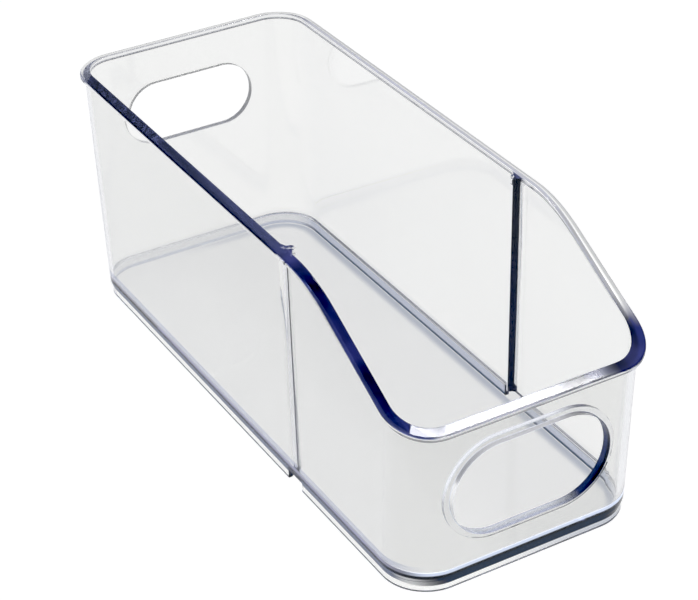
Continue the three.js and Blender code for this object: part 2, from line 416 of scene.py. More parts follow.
@dataclass(frozen=True)
class MouldingMarks:
    """What the moulding leaves on the plastic: slow waves, faint haze and a cloudy tint.

    Attributes:
        wave_scale: how many waves there are in a metre.
        wave_stretch: how much longer the waves are down the walls than along them.
        wave_height: how high they are, in metres.
        haze: the lowest and the highest roughness.
        cloud_scale: how many clouds of tint there are in a metre.
        grain_finer: how much finer the haze's grain is than the waves.
        grain_span: the part of the grain that the haze runs over.
        cloud_span: the part of the clouds that the tint runs over.
    """

    wave_scale: float = 26.0
    wave_stretch: float = 0.35
    wave_height: float = 0.00002
    haze: Span = (0.012, 0.045)
    cloud_scale: float = 9.0
    grain_finer: float = 9.0
    grain_span: Span = (0.14, 0.42)
    cloud_span: Span = (0.3, 0.7)

    def build(self) -> bpy.types.NodeTree:
        """Makes the shader group that works the marks out.

        Returns:
            The group's tree.
        """
        tree, bench, size = new_group(
            Tree.SHADER, "moulding_marks",
            {"Point": Socket.VECTOR, **numbers("Wave Scale", "Wave Stretch", "Wave Height",
                                               "Haze Low", "Haze High", "Cloud Scale")},
            numbers("Height", "Roughness", "Cloud"))
        x, y, z = bench.parts(size["Point"])
        long = bench.point(x, y, z * size["Wave Stretch"])
        wave = bench.noise(long, size["Wave Scale"], detail=1.0, rough=0.4)
        cloud = bench.noise(size["Point"], size["Cloud Scale"], detail=2.0, rough=0.5)
        grain = bench.noise(size["Point"], size["Wave Scale"] * self.grain_finer, detail=3.0,
                            rough=0.6)
        bench.node("NodeGroupOutput", {
            "Height": wave * size["Wave Height"],
            "Roughness": bench.spread(grain * cloud, *self.grain_span, size["Haze Low"],
                                      size["Haze High"]),
            "Cloud": bench.spread(cloud, *self.cloud_span),
        })
        return tree

    def place(self, bench: Bench, tree: bpy.types.NodeTree, point: Term) -> dict[str, Term]:
        """Places the group in a material with these sizes.

        Args:
            bench: where the material's nodes go.
            tree: the group's tree.
            point: the point being shaded.

        Returns:
            The waves' height, the roughness and the cloudiness.
        """
        return bench.group(tree, {
            "Point": point, "Wave Scale": self.wave_scale, "Wave Stretch": self.wave_stretch,
            "Wave Height": self.wave_height, "Haze Low": self.haze[0],
            "Haze High": self.haze[1], "Cloud Scale": self.cloud_scale})


def plan_inset() -> bpy.types.NodeTree:
    """Makes the shader group that tells how far inside the base's plan a point lies.

    Returns:
        The group's tree.
    """
    tree, bench, size = new_group(
        Tree.SHADER, "plan_inset",
        {"Point": Socket.VECTOR, **numbers("Half Width", "Half Length", "Corner Radius")},
        numbers("Inset"))
    x, y, _ = bench.parts(size["Point"])
    over_x = abs(x) - (size["Half Width"] - size["Corner Radius"])
    over_y = abs(y) - (size["Half Length"] - size["Corner Radius"])
    out_x, out_y = (bench.math("MAXIMUM", over, 0) for over in (over_x, over_y))
    away = bench.math("SQRT", out_x * out_x + out_y * out_y)
    within = bench.math("MINIMUM", bench.math("MAXIMUM", over_x, over_y), 0)
    bench.node("NodeGroupOutput", {"Inset": size["Corner Radius"] - (away + within)})
    return tree


@dataclass(frozen=True)
class BasePlan:
    """The plan of the bin's base, in millimetres.

    Attributes:
        half_width: half its width.
        half_length: half its length.
        radius: its corner radius.
        foot_out: how far inside it the foot starts.
        foot_in: how far inside it the foot ends.
        foot_top: the foot's height.
        floor_top: the height of the floor's upper side.
    """

    half_width: float
    half_length: float
    radius: float
    foot_out: float
    foot_in: float
    foot_top: float
    floor_top: float

    def place(self, bench: Bench, tree: bpy.types.NodeTree, point: Term) -> Term:
        """Places the inset group in a material.

        Args:
            bench: where the material's nodes go.
            tree: the group's tree.
            point: the point being shaded.

        Returns:
            How far inside the plan the point lies, in metres.
        """
        return bench.group(tree, {
            "Point": point, "Half Width": self.half_width * MM,
            "Half Length": self.half_length * MM, "Corner Radius": self.radius * MM})["Inset"]


def bar_mask() -> bpy.types.NodeTree:
    """Makes the shader group that marks what lies in a bar with round ends along Y.

    Returns:
        The group's tree.
    """
    tree, bench, size = new_group(
        Tree.SHADER, "slot_lining",
        {"Point": Socket.VECTOR, **numbers("Length", "Height", "Middle", "End", "Depth",
                                           "Margin")}, numbers("Share"))
    x, y, z = bench.parts(size["Point"])
    half = size["Height"] / 2
    past = bench.math("MAXIMUM", abs(x) - (size["Length"] / 2 - half), 0)
    rise = z - size["Middle"]
    away = bench.math("SQRT", past * past + rise * rise)
    inside = away < half + size["Margin"]
    at_end = y * size["End"] > size["Depth"]
    bench.node("NodeGroupOutput", {"Share": inside * at_end})
    return tree


@dataclass(frozen=True)
class SlotLining:
    """Where one hand slot's lining is.

    Attributes:
        end: the end wall it is in.
        length: the slot's length in millimetres.
        height: its height.
        middle: the height of its middle above the shelf.
        depth: how far from the bin's middle the lining starts.
        margin: how far beyond the slot's outline it counts.
    """

    end: End
    length: float
    height: float
    middle: float
    depth: float = 149.0
    margin: float = 0.2

    def place(self, bench: Bench, tree: bpy.types.NodeTree, point: Term) -> Term:
        """Places the mask in a material.

        Args:
            bench: where the material's nodes go.
            tree: the mask's tree.
            point: the point being shaded.

        Returns:
            1 on the lining, otherwise 0.
        """
        return bench.group(tree, {
            "Point": point, "Length": self.length * MM, "Height": self.height * MM,
            "Middle": self.middle * MM, "End": float(self.end.value),
            "Depth": self.depth * MM, "Margin": self.margin * MM})["Share"]


@dataclass(frozen=True)
class Spot:
    """What is known about the point of the plastic that is being shaded.

    Attributes:
        bench: where the material's nodes go.
        base: the plan of the base.
        point: where the point is, in metres.
        x: how far right of the bin's middle it is.
        y: how far behind it.
        z: how high above the shelf.
        inset: how far it lies inside the base's plan.
        outside: 1 where the face is seen from outside the plastic, otherwise 0.
        upward: how much the face looks up, from -1 to 1.
    """

    bench: Bench
    base: BasePlan
    point: Term
    x: Term
    y: Term
    z: Term
    inset: Term
    outside: Term
    upward: Term

    @classmethod
    def found(cls, bench: Bench, base: BasePlan, inset_group: bpy.types.NodeTree) -> "Spot":
        """Reads what is known from the material's input nodes.

        Args:
            bench: where the material's nodes go.
            base: the plan of the base.
            inset_group: the group that tells how far inside the plan a point lies.

        Returns:
            The spot.
        """
        point = bench.step("ShaderNodeTexCoord", take="Object")
        face = bench.outputs("ShaderNodeNewGeometry")
        return cls(bench, base, point, *bench.parts(point),
                   base.place(bench, inset_group, point), 1 - face["Backfacing"],
                   bench.parts(face["Normal"])[2])


@dataclass
class Coat:
    """The plastic's colours, painted shade, painted light and roughness, as they are laid on one
    after another.

    Attributes:
        bench: where the material's nodes go.
        shade: the colour given to what passes through, painted shade included.
        glow: the colour given off, which is painted light.
        haze: how much rougher it is than plain plastic.
    """

    bench: Bench
    shade: Any
    glow: Any = (0.0, 0.0, 0.0)
    haze: Any = 0.0

    def tint(self, share: Term, colour: Any) -> None:
        """Lays a colour, the plastic's own or painted shade, over what passes through."""
        self.shade = self.bench.blend(share, self.shade, colour)

    def light(self, share: Term, colour: Any) -> None:
        """Lays painted light over what is given off."""
        self.glow = self.bench.blend(share, self.glow, colour)

    def roughen(self, share: Term, amount: float) -> None:
        """Adds to the roughness."""
        self.haze = share * amount + self.haze


@dataclass(frozen=True)
class BaseTintAndShade:
    """The floor's colour, and the painted shade of the foot.

    Attributes:
        floor_tint: the floor's colour, which is thicker to look through.
        foot_painted_shade: the navy painted shade of the foot's inner side, where the ring is
            seen from within.
        end_painted_shade: the same painted shade at the two ends, paler.
        toe_painted_shade: the near-black painted shade of its lowest edge, where it meets the
            shelf.
        toe: the heights between which that gives way to the foot's colour, in millimetres.
        ends: how far from the end of the base the end's colour starts and is full.
        skin: how far past its own faces the floor's colour reaches.
    """

    floor_tint: Colour = (0.875, 0.875, 0.855)
    foot_painted_shade: Colour = (0.46, 0.51, 0.70)
    end_painted_shade: Colour = (0.9, 0.91, 0.95)
    toe_painted_shade: Colour = (0.0, 0.004, 0.03)
    toe: Span = (1.7, 2.6)
    ends: Span = (24.0, 8.0)
    skin: float = 0.05

    def lay(self, spot: Spot, coat: Coat) -> None:
        """Lays the floor's colour and the foot's painted shade on.

        Args:
            spot: the point being shaded.
            coat: what they are laid on.
        """
        bench, base = spot.bench, spot.base
        under, over = in_metres((base.foot_top - self.skin, base.floor_top + self.skin))
        coat.tint((spot.z > under) * (spot.z < over), self.floor_tint)
        at_end = bench.rise(abs(spot.y), (base.half_length - self.ends[0],
                                          base.half_length - self.ends[1]), Ease.SMOOTH)
        # Painted shade on the foot ring: navy, near black at its lowest edge, paler at the two
        # ends.
        ring = bench.blend(at_end, self.foot_painted_shade, self.end_painted_shade)
        line = bench.blend(at_end, self.toe_painted_shade, self.foot_painted_shade)
        within = spot.inset > (base.foot_out + base.foot_in) / 2 * MM
        coat.tint((spot.z < under) * within * spot.outside,
                  bench.blend(bench.rise(spot.z, self.toe), line, ring))


@dataclass(frozen=True)
class PaintedEdgeBand:
    """One band of painted shade or painted light round the outside of the base.

    Attributes:
        colour: its colour.
        heights: the heights between which it lies, in millimetres.
        at_front: whether it is at the front end, or along the rest.
        glows: whether it gives its colour off as painted light, or tints what passes through as
            painted shade.
    """

    colour: Colour
    heights: Span
    at_front: bool
    glows: bool = False


@dataclass(frozen=True)
class EdgeShadeAndLight:
    """Painted shade and painted light in bands round the outside of the base, in place of the
    dark and light lines that the floor's edge makes.

    Attributes:
        bands: the bands, in the order in which they are laid on.
        depth: how far inside the plan they reach, in millimetres.
        blur: how soft their limits are.
        front_blend: how far behind the front end its bands start to fade and are gone.
    """

    bands: tuple[PaintedEdgeBand, ...] = (
        # Near-black painted shade low at the front and along the sides, a lilac painted shade
        # higher on the sides, and painted light between them.
        PaintedEdgeBand((0.0, 0.0002, 0.002), (3.0, 8.8), at_front=True),
        PaintedEdgeBand((0.02, 0.028, 0.06), (3.6, 8.4), at_front=False),
        PaintedEdgeBand((0.46, 0.5, 0.66), (11.0, 14.2), at_front=False),
        PaintedEdgeBand((0.6, 0.67, 0.82), (8.9, 11.3), at_front=True, glows=True),
        PaintedEdgeBand((0.2, 0.2, 0.25), (8.9, 11.3), at_front=False, glows=True),
    )
    depth: float = 1.0
    blur: float = 0.5
    front_blend: Span = (1.0, 16.0)

    def lay(self, spot: Spot, coat: Coat) -> None:
        """Lays the bands of painted shade and painted light on.

        Args:
            spot: the point being shaded.
            coat: what they are laid on.
        """
        bench, half_length = spot.bench, spot.base.half_length
        on_edge = spot.outside * (spot.inset < self.depth * MM)
        front = bench.fall(spot.y, (self.front_blend[0] - half_length,
                                    self.front_blend[1] - half_length), Ease.SMOOTH)
        rest = 1 - front
        for band in self.bands:
            low, high = band.heights
            share = bench.window(spot.z, (low, low + self.blur, high - self.blur, high))
            share = share * on_edge * (front if band.at_front else rest)
            lay = coat.light if band.glows else coat.tint
            lay(share, band.colour)


@dataclass(frozen=True)
class SlotShadeAndLight:
    """The painted shade and painted light on the linings of the two hand slots, and their
    roughness.

    Attributes:
        back: where the back slot's lining is.
        front: where the front slot's lining is.
        tints: the front lining's painted shade, pale low on the left and near black at the
            right.
        turn: where along the slot the first gives way to the second, in millimetres.
        glow: the painted light that its upper left part gives off.
        glow_from: how far above the slot's middle that starts and is full.
        back_haze: how rough the back lining is.
        front_haze: how rough the front lining is.
    """

    back: SlotLining
    front: SlotLining
    tints: tuple[Colour, Colour] = ((0.72, 0.77, 0.9), (0.002, 0.004, 0.03))
    turn: Span = (8.0, 26.0)
    glow: Colour = (0.25, 0.25, 0.27)
    glow_from: Span = (-4.0, 12.0)
    back_haze: float = 0.7
    front_haze: float = 0.22

    def lay(self, spot: Spot, coat: Coat) -> None:
        """Lays the linings' painted shade, painted light and roughness on.

        Args:
            spot: the point being shaded.
            coat: what they are laid on.
        """
        bench, mask, middle = spot.bench, bar_mask(), self.front.middle
        back, front = (lining.place(bench, mask, spot.point)
                       for lining in (self.back, self.front))
        turned = bench.rise(spot.x, self.turn, Ease.SMOOTH)
        # Painted shade on the front lining: pale low on the left, near black at the right.
        coat.tint(front, bench.blend(turned, *self.tints))
        # Painted light on the front lining's upper left part.
        upper = bench.rise(spot.z, (middle + self.glow_from[0], middle + self.glow_from[1]),
                           Ease.SMOOTH)
        coat.light(front * upper * (1 - turned), self.glow)
        coat.roughen(back, self.back_haze)
        coat.roughen(front, self.front_haze)


@dataclass(frozen=True)
class RimShadeAndLight:
    """The painted shade, painted light and roughness on the top of the rim, with lengths in
    millimetres.

    Attributes:
        lowest: the height above which the rim is.
        upward: how much a face has to look up to belong to its top.
        corner_painted_shade: the navy painted shade of the front right corner.
        corner_haze: how rough it is.
        corner_at: where the corner is.
        corner_reach: how far from there the navy is full and how far it is gone.
        ramp_painted_shade: the navy painted shade of the near ramp.
        ramp_inner: where across the rim it is full and gone, with the base's inset added.
        ramp_ends: where along the bin it starts, is full, starts to fade and is gone.
        navy_painted_glow: the paler streaks of painted light in both navy parts.
        streak_scale: how many streaks there are in a metre.
        streak_span: the part of the noise that they run over.
        far_ends: where along the bin the far rim starts, is full, starts to fade and is gone.
        grey: the grey painted shade of the far rim's outer part.
        grey_at: where across the rim that starts and is full.
        pale: the painted light that the line inside it gives off.
        pale_at: where across the rim the line starts, is full, starts to fade and is gone.
        worn_haze: how rough the front is, apart from the navy parts.
        worn_ends: where along the bin that starts to fade and is gone.
    """

    lowest: float = 80.0
    upward: float = 0.4
    corner_painted_shade: Colour = (0.001, 0.0015, 0.035)
    corner_haze: float = 0.62
    corner_at: tuple[float, float, float] = (63.0, -158.0, 84.0)
    corner_reach: Span = (22.0, 36.0)
    ramp_painted_shade: Colour = (0.03, 0.04, 0.2)
    ramp_inner: Span = (-55.5, -50.5)
    ramp_ends: Window = (-160.0, -158.0, -66.0, -40.0)
    navy_painted_glow: Colour = (0.036, 0.037, 0.13)
    streak_scale: float = 48.0
    streak_span: Span = (0.36, 0.66)
    far_ends: Window = (-142.0, -122.0, 128.0, 148.0)
    grey: Colour = (0.44, 0.44, 0.445)
    grey_at: Span = (60.0, 61.4)
    pale: Colour = (0.43, 0.43, 0.43)
    pale_at: Window = (57.6, 58.2, 59.9, 60.8)
    worn_haze: float = 0.1
    worn_ends: Span = (-143.0, -133.0)

    def lay(self, spot: Spot, coat: Coat) -> None:
        """Lays the rim's painted shade, painted light and roughness on.

        Args:
            spot: the point being shaded.
            coat: what they are laid on.
        """
        bench = spot.bench
        on_top = spot.outside * (spot.upward > self.upward) * (spot.z > self.lowest * MM)
        apart = bench.step("ShaderNodeVectorMath", {0: spot.point, 1: in_metres(self.corner_at)},
                           take="Value", operation="DISTANCE")
        corner = bench.fall(apart, self.corner_reach, Ease.SMOOTH) * on_top
        ramp = (on_top * bench.window(spot.y, self.ramp_ends, Ease.SMOOTH)
                * bench.fall(spot.x + spot.inset, self.ramp_inner))
        far = on_top * bench.window(spot.y, self.far_ends, Ease.SMOOTH)
        # Painted shade: navy on the front right corner and the near ramp, grey on the far rim's
        # outer part.
        coat.tint(corner, self.corner_painted_shade)
        coat.tint(ramp, self.ramp_painted_shade)
        coat.tint(far * bench.rise(spot.x, self.grey_at), self.grey)
        # Painted light: paler streaks in the navy parts, and a pale line along the far rim.
        navy = bench.math("MAXIMUM", corner, ramp)
        noise = bench.noise(spot.point, self.streak_scale, detail=2.0, rough=0.5)
        coat.light(navy * bench.spread(noise, *self.streak_span), self.navy_painted_glow)
        coat.light(far * bench.window(spot.x, self.pale_at), self.pale)
        coat.roughen(corner, self.corner_haze)
        coat.roughen(on_top * bench.fall(spot.y, self.worn_ends) * (1 - navy), self.worn_haze)


@dataclass(frozen=True)
class ClearFinish:
    """The clear plastic, with its painted shade and painted light.

    Attributes:
        plan: the plan of the base.
        slots: the painted shade and light on the linings of the hand slots.
        base: the floor's colour and the foot's painted shade.
        edge: the bands of painted shade and light round the base.
        rim: the painted shade and light on the top of the rim.
        tints: the colours that the faces give to what passes through, where it is clearest
            and where it is cloudiest.
        refraction: the index of refraction.
        depth_tint: the colour that is left over after a long way inside.
        depth_density: how soon that colour is reached, for each metre.
    """

    plan: BasePlan
    slots: SlotShadeAndLight
    base: BaseTintAndShade = BaseTintAndShade()
    edge: EdgeShadeAndLight = EdgeShadeAndLight()
    rim: RimShadeAndLight = RimShadeAndLight()
    tints: tuple[Colour, Colour] = ((0.935, 0.935, 0.905), (0.92, 0.92, 0.893))
    refraction: float = 1.5
    depth_tint: Colour = (0.0, 0.05, 0.40)
    depth_density: float = 16.0

    def build(self, name: str, marks: MouldingMarks,
              inset_group: bpy.types.NodeTree) -> bpy.types.Material:
        """Makes the material.

        Args:
            name: the material's name.
            marks: what the moulding leaves on the plastic.
            inset_group: the group that tells how far inside the plan a point lies.

        Returns:
            The material.
        """
        material = bpy.data.materials.new(name)
        material.use_nodes = True
        material.node_tree.nodes.clear()
        bench = Bench(material.node_tree)
        spot = Spot.found(bench, self.plan, inset_group)
        found = marks.place(bench, marks.build(), spot.point)
        coat = Coat(bench, bench.blend(found["Cloud"], *self.tints))
        # Lays on the painted shade and painted light of the foot, the base's edge, the slots and
        # the rim.
        for part in (self.base, self.edge, self.slots, self.rim):
            part.lay(spot, coat)
        bump = bench.step("ShaderNodeBump", {"Strength": 1.0, "Distance": 1.0,
                                             "Height": found["Height"]})
        surface = bench.step("ShaderNodeBsdfPrincipled", {
            "Base Color": coat.shade, "Roughness": found["Roughness"] + coat.haze,
            "Normal": bump, "Emission Color": coat.glow, "Emission Strength": 1.0,
            "Metallic": 0.0, "IOR": self.refraction, "Transmission Weight": 1.0})
        depth = bench.step("ShaderNodeVolumeAbsorption", {"Color": (*self.depth_tint, 1.0),
                                                          "Density": self.depth_density})
        bench.node("ShaderNodeOutputMaterial", {"Surface": surface, "Volume": depth})
        material.cycles.emission_sampling = "NONE"
        return material


@dataclass(frozen=True)
class HandSlot:
    """One hand slot, in millimetres.

    Attributes:
        length: how long it is.
        height: how high it is.
        drop: how far its upper edge lies below the top of the end wall.
    """

    length: float
    height: float
    drop: float


@dataclass
class Moulding:
    """The whole bin as one moulding, with lengths in millimetres.

    Attributes:
        length: how long it is, along Y.
        width: how wide it is.
        rear_height: how high it is behind the ramps.
        front_height: how high it is at the front.
        corner_radius: the lip's corner radius.
        wall: how thick the walls are.
        side_draft: how far the long sides lean in from the rim to the floor.
        end_draft: how far the ends lean in.
        base_radius: the base's corner radius.
        base_edge: the rounding of the base's lower edge.
        overhang: how far the lip stands out.
        lip: how deep the lip is.
        edge_round: the rounding of the rim's edges.
        rim_slope: how steeply the rim's top falls outwards, in degrees.
        rim_outer_round: the rounding where that top meets the lip's outer side.
        floor: how thick the floor is.
        floor_fillet: the fillet between the floor and the walls.
        foot: how high the foot is.
        foot_inset: how far inside the base the foot starts.
        foot_wall: how thick the foot is.
        foot_round: the rounding of the foot's outer and upper edges.
        foot_toe: the rounding of its lower inner edge.
        notch: how long the gap in the foot under each rail is.
        ramp_run: how long the ramps are.
        ramp_past: how far round the front corners they end.
        shoulder_ease: half the length of a ramp's upper bend.
        foot_ease: half the length of its lower bend.
        rail_from_front: how far behind the front the divider rails stand.
        rail_width: how wide a rail is.
        rail_reach: how far it stands out from the wall.
        rail_flare: how much wider it gets on each side where it meets the wall.
        rail_head_width: how wide its head is.
        rail_head_reach: how far the head stands out.
        rail_head_depth: how deep the head is.
        back_slot: the hand slot in the back.
        front_slot: the hand slot in the front.
        collar: how wide the collar round the front slot is.
        collar_reach: how far it stands in from the wall.
        overrun: how far the cuts go past what they cut.
        arc_chords: how many chords the wide, the narrow and the least roundings have.
        stations: how many steps the sweep takes round a quarter of the bin.
        corner_steps: the shares of those steps at which the corner starts and ends.
        slot_chords: how many chords there are in each rounding of a slot.
        flare_chords: how many there are in each side of a rail's flare.
        tip_chords: how many there are in a rail's round tip.
        sharp_from: the angle in degrees from which an edge is kept sharp.
    """

    length: float = 316.0
    width: float = 126.0
    rear_height: float = 122.0
    front_height: float = 84.0
    corner_radius: float = 20.8
    wall: float = 3.0
    side_draft: float = 0.9
    end_draft: float = 2.7
    base_radius: float = 22.0
    base_edge: float = 0.2
    overhang: float = 2.1
    lip: float = 3.2
    edge_round: float = 0.6
    rim_slope: float = 11.0
    rim_outer_round: float = 1.1
    floor: float = 3.0
    floor_fillet: float = 0.9
    foot: float = 6.0
    foot_inset: float = 0.9
    foot_wall: float = 2.4
    foot_round: float = 0.2
    foot_toe: float = 0.9
    notch: float = 12.2
    ramp_run: float = 71.7
    ramp_past: float = 14.15
    shoulder_ease: float = 15.5
    foot_ease: float = 14.15
    rail_from_front: float = 102.0
    rail_width: float = 2.8
    rail_reach: float = 3.2
    rail_flare: float = 2.6
    rail_head_width: float = 4.4
    rail_head_reach: float = 3.8
    rail_head_depth: float = 3.4
    back_slot: HandSlot = HandSlot(69.0, 32.4, 21.0)
    front_slot: HandSlot = HandSlot(78.0, 45.0, 17.0)
    collar: float = 3.0
    collar_reach: float = 1.6
    overrun: float = 5.0
    arc_chords: tuple[int, int, int] = (4, 3, 2)
    stations: int = 60
    corner_steps: Span = (0.6, 0.85)
    slot_chords: int = 20
    flare_chords: int = 6
    tip_chords: int = 12
    sharp_from: float = 32.0

    def base_plan(self) -> BasePlan:
        """Says where the base's outline and its foot are.

        Returns:
            The plan of the base.
        """
        return BasePlan(self.width / 2 - self.overhang - self.side_draft,
                        self.length / 2 - self.overhang - self.end_draft, self.base_radius,
                        self.foot_inset, self.foot_inset + self.foot_wall, self.foot,
                        self.foot + self.floor)

    def slot_lining(self, end: End) -> SlotLining:
        """Says where the lining of an end's hand slot is.

        Args:
            end: the end wall.

        Returns:
            The lining's place.
        """
        top, slot = ((self.rear_height, self.back_slot) if end is End.BACK
                     else (self.front_height, self.front_slot))
        return SlotLining(end, slot.length, slot.height, top - slot.drop - slot.height / 2)

    def section(self) -> list[SectionPoint]:
        """Lists the section from the middle of the floor, over the rim, to the underside.

        Returns:
            The points in order.
        """
        floor_top = self.foot + self.floor
        top, middle = self.rear_height, self.base_radius / 2
        edge, outer, fillet = self.edge_round, self.rim_outer_round, self.floor_fillet
        small, toe = self.foot_round, self.foot_toe
        wide, narrow, least = self.arc_chords
        slope = math.radians(self.rim_slope)
        upward = 90 + self.rim_slope
        lip_edge, inner_edge = -self.overhang + edge, self.wall - edge
        fall = ((inner_edge - outer + self.overhang) * math.tan(slope)
                + (outer - edge) * (1 / math.cos(slope) - 1))
        foot_out = self.foot_inset
        foot_in = foot_out + self.foot_wall
        return [
            SectionPoint(middle, floor_top, reach=0.0),
            SectionPoint(middle, floor_top),
            *arc(self.wall + fillet, floor_top + fillet, fillet, -90, -180, wide),
            *arc(inner_edge, top - edge, edge, 0, upward, wide, follows=1.0),
            *arc(outer - self.overhang, top - outer - fall, outer, upward, 180, wide,
                 level=top, follows=1.0),
            *arc(lip_edge, top - self.lip + edge, edge, 180, 270, narrow, level=top,
                 follows=1.0),
            *arc(-edge, top - self.lip - edge, edge, 90, 0, narrow, follows=1.0),
            *arc(self.base_edge, self.foot + self.base_edge, self.base_edge, 180, 270, narrow),
            SectionPoint(foot_out, self.foot - small / 2, level=self.foot),
            *arc(foot_out + small, small, small, 180, 270, least, level=self.foot),
            *arc(foot_in - toe, toe, toe, 270, 360, wide, level=self.foot),
            *arc(foot_in + small, self.foot - small, small, 180, 90, least, level=self.foot),
            SectionPoint(middle, self.foot, level=self.foot),
            SectionPoint(middle, self.foot, level=self.foot, reach=0.0),
        ]

    def section_mesh(self) -> bpy.types.Mesh:
        """Draws the section as a line of points that carry how they follow the rim.

        Returns:
            The line.
        """
        points = self.section()
        mesh = bpy.data.meshes.new("section")
        mesh.from_pydata([(p.inset * MM, 0.0, p.height * MM) for p in points],
                         [(i, i + 1) for i in range(len(points) - 1)], [])
        for label, values in (("level", [p.level * MM for p in points]),
                              ("follows", [p.follows for p in points]),
                              ("reach", [p.reach for p in points])):
            mesh.attributes.new(label, "FLOAT", "POINT").data.foreach_set("value", values)
        return mesh

    def lengths(self) -> dict[str, float]:
        """Lists the lengths that the shell is swept and cut with.

        Returns:
            The lengths in millimetres, by their names.
        """
        back, front = self.back_slot, self.front_slot
        return {
            "Length": self.length, "Width": self.width, "Corner Radius": self.corner_radius,
            "Rear Height": self.rear_height, "Front Height": self.front_height,
            "Side Draft": self.side_draft, "End Draft": self.end_draft,
            "Base Radius": self.base_radius, "Overhang": self.overhang, "Wall": self.wall,
            "Foot Height": self.foot, "Ramp Run": self.ramp_run,
            "Ramp Past Corner": self.ramp_past, "Shoulder Ease": self.shoulder_ease,
            "Foot Ease": self.foot_ease, "Back Slot Length": back.length,
            "Back Slot Height": back.height, "Back Slot Drop": back.drop,
            "Front Slot Length": front.length, "Front Slot Height": front.height,
            "Front Slot Drop": front.drop, "Collar Width": self.collar,
            "Collar Reach": self.collar_reach, "Notch Length": self.notch,
            "Notch Middle": self.rail_from_front - self.length / 2, "Overrun": self.overrun,
        }

    def slot_group(self) -> bpy.types.NodeTree:
        """Makes the group for a bar with round ends that runs along the bin.

        Returns:
            The group's tree.
        """
        tree, bench, size = new_group(Tree.GEOMETRY, "round_bar",
                                      numbers("Length", "Height", "Middle", "From", "To"),
                                      {"Geometry": Socket.GEOMETRY})
        outline = bench.step("GeometryNodeCurvePrimitiveQuadrilateral",
                             {"Width": size["Length"], "Height": size["Height"]})
        ends = bench.step("GeometryNodeFilletCurve", {
            "Count": self.slot_chords, "Curve": outline,
            "Radius": size["Height"] * NEARLY_HALF}, mode="POLY")
        face = bench.step("GeometryNodeFillCurve", {0: ends}, mode="NGONS")
        bar = bench.solid(face, {"Offset Scale": size["To"] - size["From"]})
        bench.node("NodeGroupOutput", {"Geometry": bench.step("GeometryNodeTransform", {
            "Geometry": bar, "Translation": bench.point(0.0, size["To"], size["Middle"]),
            "Rotation": (math.pi / 2, 0.0, 0.0)})})
        return tree

    def swept(self, bench: Bench, size: dict[str, Term]) -> Term:
        """Sweeps the section round the bin.

        Args:
            bench: where the shell's nodes go.
            size: what the tree's inputs give.

        Returns:
            The closed shell, before its openings are cut.
        """
        rows = bench.step("GeometryNodeAttributeDomainSize", {0: size["Geometry"]},
                          take="Point Count", component="MESH")
        around = size["Stations"] * 4
        grid = bench.step("GeometryNodeMeshGrid", {"Vertices X": around + 1, "Vertices Y": rows})

        index = bench.step("GeometryNodeInputIndex")
        column = bench.math("FLOOR", (index + 0.5) / rows)
        row = index - column * rows
        way = bench.math("MODULO", column, around) / size["Stations"]
        quarter = bench.math("FLOOR", way + NUDGE)
        part = way - quarter
        odd = bench.math("MODULO", quarter, 2)
        share = odd * (1 - part) + (1 - odd) * part
        # Quarters 0 and 3 are on the right, 1 and 2 on the left, 2 and 3 at the front.
        on_left = bench.math("COMPARE", quarter, 1.5, 0.6)
        sign_x = 1 - on_left * 2
        at_front = quarter > 1.5
        sign_y = 1 - at_front * 2
        start, end = self.corner_steps
        along_y = bench.spread(share, 0.0, start)
        angle = bench.spread(share, start, end, 0.0, math.pi / 2)
        along_x = bench.spread(share, end, 1.0, 1.0, 0.0)

        centre_y = size["Length"] / 2 - size["Corner Radius"]
        run = (at_front * (size["Corner Radius"] * angle)
               - (centre_y + sign_y * along_y * centre_y))

        def eased(distance: Term, ease: Term) -> Term:
            """Eases a slope in: a parabola up to twice the ease, then a straight line.

            Args:
                distance: how far along it is.
                ease: half the length of the bend.

            Returns:
                The eased distance: 0 before the bend, and short by the ease after it.
            """
            double = ease * 2
            early = bench.spread(distance, 0.0, double, 0.0, double)
            late = bench.math("MAXIMUM", distance - double, 0.0)
            return early * early / (ease * 4) + late

        shoulder = size["Ramp Past Corner"] - size["Ramp Run"] - size["Shoulder Ease"]
        foot = size["Ramp Past Corner"] - size["Foot Ease"]
        fallen = (eased(run - shoulder, size["Shoulder Ease"])
                  - eased(run - foot, size["Foot Ease"]))
        drop = (size["Rear Height"] - size["Front Height"]) / size["Ramp Run"] * fallen

        def sampled(kind: str, value: Term) -> Term:
            """Reads a value of the section's point for each point of the sweep.

            Args:
                kind: the value's data type.
                value: the value on the section.

            Returns:
                The value on the sweep.
            """
            return bench.step("GeometryNodeSampleIndex", {
                0: size["Geometry"], "Value": value, "Index": row}, data_type=kind,
                domain="POINT")

        def named(label: str) -> Term:
            """Reads one of the section's own numbers."""
            return sampled("FLOAT", bench.step("GeometryNodeInputNamedAttribute",
                                               {"Name": label}, data_type="FLOAT"))

        inset, _, height = bench.parts(sampled(
            "FLOAT_VECTOR", bench.step("GeometryNodeInputPosition")))
        z = height - named("follows") * drop
        level = named("level")
        free = level < 0.0
        plan = free * z + (1 - free) * level
        rise = (plan - size["Foot Height"]) / (size["Rear Height"] - size["Foot Height"])
        lean = 1 - rise
        upper_radius = size["Corner Radius"] - size["Overhang"]
        radius = rise * upper_radius + lean * size["Base Radius"] - inset
        reach = named("reach")

        def across(sign: Term, along: Term, total: Term, draft: Term, turned: str) -> Term:
            """Finds one coordinate of the rounded plan at this height.

            Args:
                sign: which side of the middle it is on.
                along: how far along the straight side it is, from 0 to 1.
                total: the bin's whole size this way.
                draft: how far the walls lean in this way.
                turned: the function that gives the corner's share of its radius.

            Returns:
                The coordinate in metres.
            """
            half = total / 2 - size["Overhang"] - lean * draft - inset
            return sign * reach * (along * (half - radius)
                                   + radius * bench.math(turned, angle))

